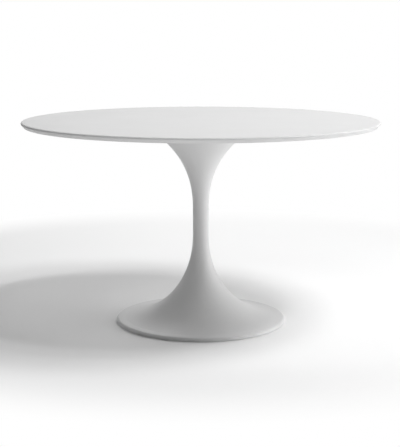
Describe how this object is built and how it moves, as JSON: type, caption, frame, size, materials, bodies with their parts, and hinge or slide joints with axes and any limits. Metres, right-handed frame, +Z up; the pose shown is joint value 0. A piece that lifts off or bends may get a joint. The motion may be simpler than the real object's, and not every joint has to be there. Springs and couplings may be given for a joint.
{
  "type": "round pedestal table",
  "caption": "Round dining table with a thin bevelled top on a one-piece trumpet-shaped pedestal, weighted foot and screw levelling glides.",
  "frame": {"origin": "on the floor, on the axis of the pedestal", "axes": "+Z up along the axis of the pedestal; +X to the right and -Y to the front, the table being the same all round"},
  "size_m": [1.3, 1.3, 0.75],
  "materials": {
    "top_lacquer": "matte",
    "pedestal_coat": "satin",
    "zinc": "satin",
    "spring_steel": "satin",
    "black_steel": "satin",
    "iron": "matte",
    "cover_paint": "matte",
    "gasket_rubber": "matte",
    "pad_nylon": "matte"
  },
  "bodies": {
    "table": {"tabletop": "top_lacquer", "top_inserts": "zinc", "mounting_plate": "black_steel", "plate_screws": "zinc", "rim_gasket": "gasket_rubber", "pedestal": "pedestal_coat", "tie_rod": "zinc", "rod_lock_nut": "zinc", "rod_washer": "zinc", "rod_spring_washer": "spring_steel", "rod_nut": "zinc", "ballast_ring": "iron", "ballast_bolts": "zinc", "ballast_washers": "zinc", "base_cover": "cover_paint", "cover_screws": "zinc"},
    "glide_pad_1": {"glide_pad_1": "pad_nylon"},
    "glide_pad_2": {"glide_pad_2": "pad_nylon"},
    "glide_pad_3": {"glide_pad_3": "pad_nylon"},
    "glide_pad_4": {"glide_pad_4": "pad_nylon"},
    "glide_stud_1": {"glide_stud_1": "zinc"},
    "glide_stud_2": {"glide_stud_2": "zinc"},
    "glide_stud_3": {"glide_stud_3": "zinc"},
    "glide_stud_4": {"glide_stud_4": "zinc"}
  },
  "joints": [
    {"name": "glide_lift_1", "type": "slide", "parent": "table", "child": "glide_pad_1", "axis": [0, 0, 1], "range_m": [-0.004, 0.00125]},
    {"name": "glide_turn_1", "type": "hinge", "parent": "glide_pad_1", "child": "glide_stud_1", "pos_m": [0.17678, 0.17678, 0.009], "axis": [0, 0, 1], "range_deg": [-1152, 360]},
    {"name": "glide_lift_2", "type": "slide", "parent": "table", "child": "glide_pad_2", "axis": [0, 0, 1], "range_m": [-0.004, 0.00125]},
    {"name": "glide_turn_2", "type": "hinge", "parent": "glide_pad_2", "child": "glide_stud_2", "pos_m": [-0.17678, 0.17678, 0.009], "axis": [0, 0, 1], "range_deg": [-1152, 360]},
    {"name": "glide_lift_3", "type": "slide", "parent": "table", "child": "glide_pad_3", "axis": [0, 0, 1], "range_m": [-0.004, 0.00125]},
    {"name": "glide_turn_3", "type": "hinge", "parent": "glide_pad_3", "child": "glide_stud_3", "pos_m": [-0.17678, -0.17678, 0.009], "axis": [0, 0, 1], "range_deg": [-1152, 360]},
    {"name": "glide_lift_4", "type": "slide", "parent": "table", "child": "glide_pad_4", "axis": [0, 0, 1], "range_m": [-0.004, 0.00125]},
    {"name": "glide_turn_4", "type": "hinge", "parent": "glide_pad_4", "child": "glide_stud_4", "pos_m": [0.17678, -0.17678, 0.009], "axis": [0, 0, 1], "range_deg": [-1152, 360]}
  ],
  "couplings": [
    {"joint": "glide_lift_1", "follows": "glide_turn_1", "m_per_rad": 0.00019894},
    {"joint": "glide_lift_2", "follows": "glide_turn_2", "m_per_rad": 0.00019894},
    {"joint": "glide_lift_3", "follows": "glide_turn_3", "m_per_rad": 0.00019894},
    {"joint": "glide_lift_4", "follows": "glide_turn_4", "m_per_rad": 0.00019894}
  ]
}
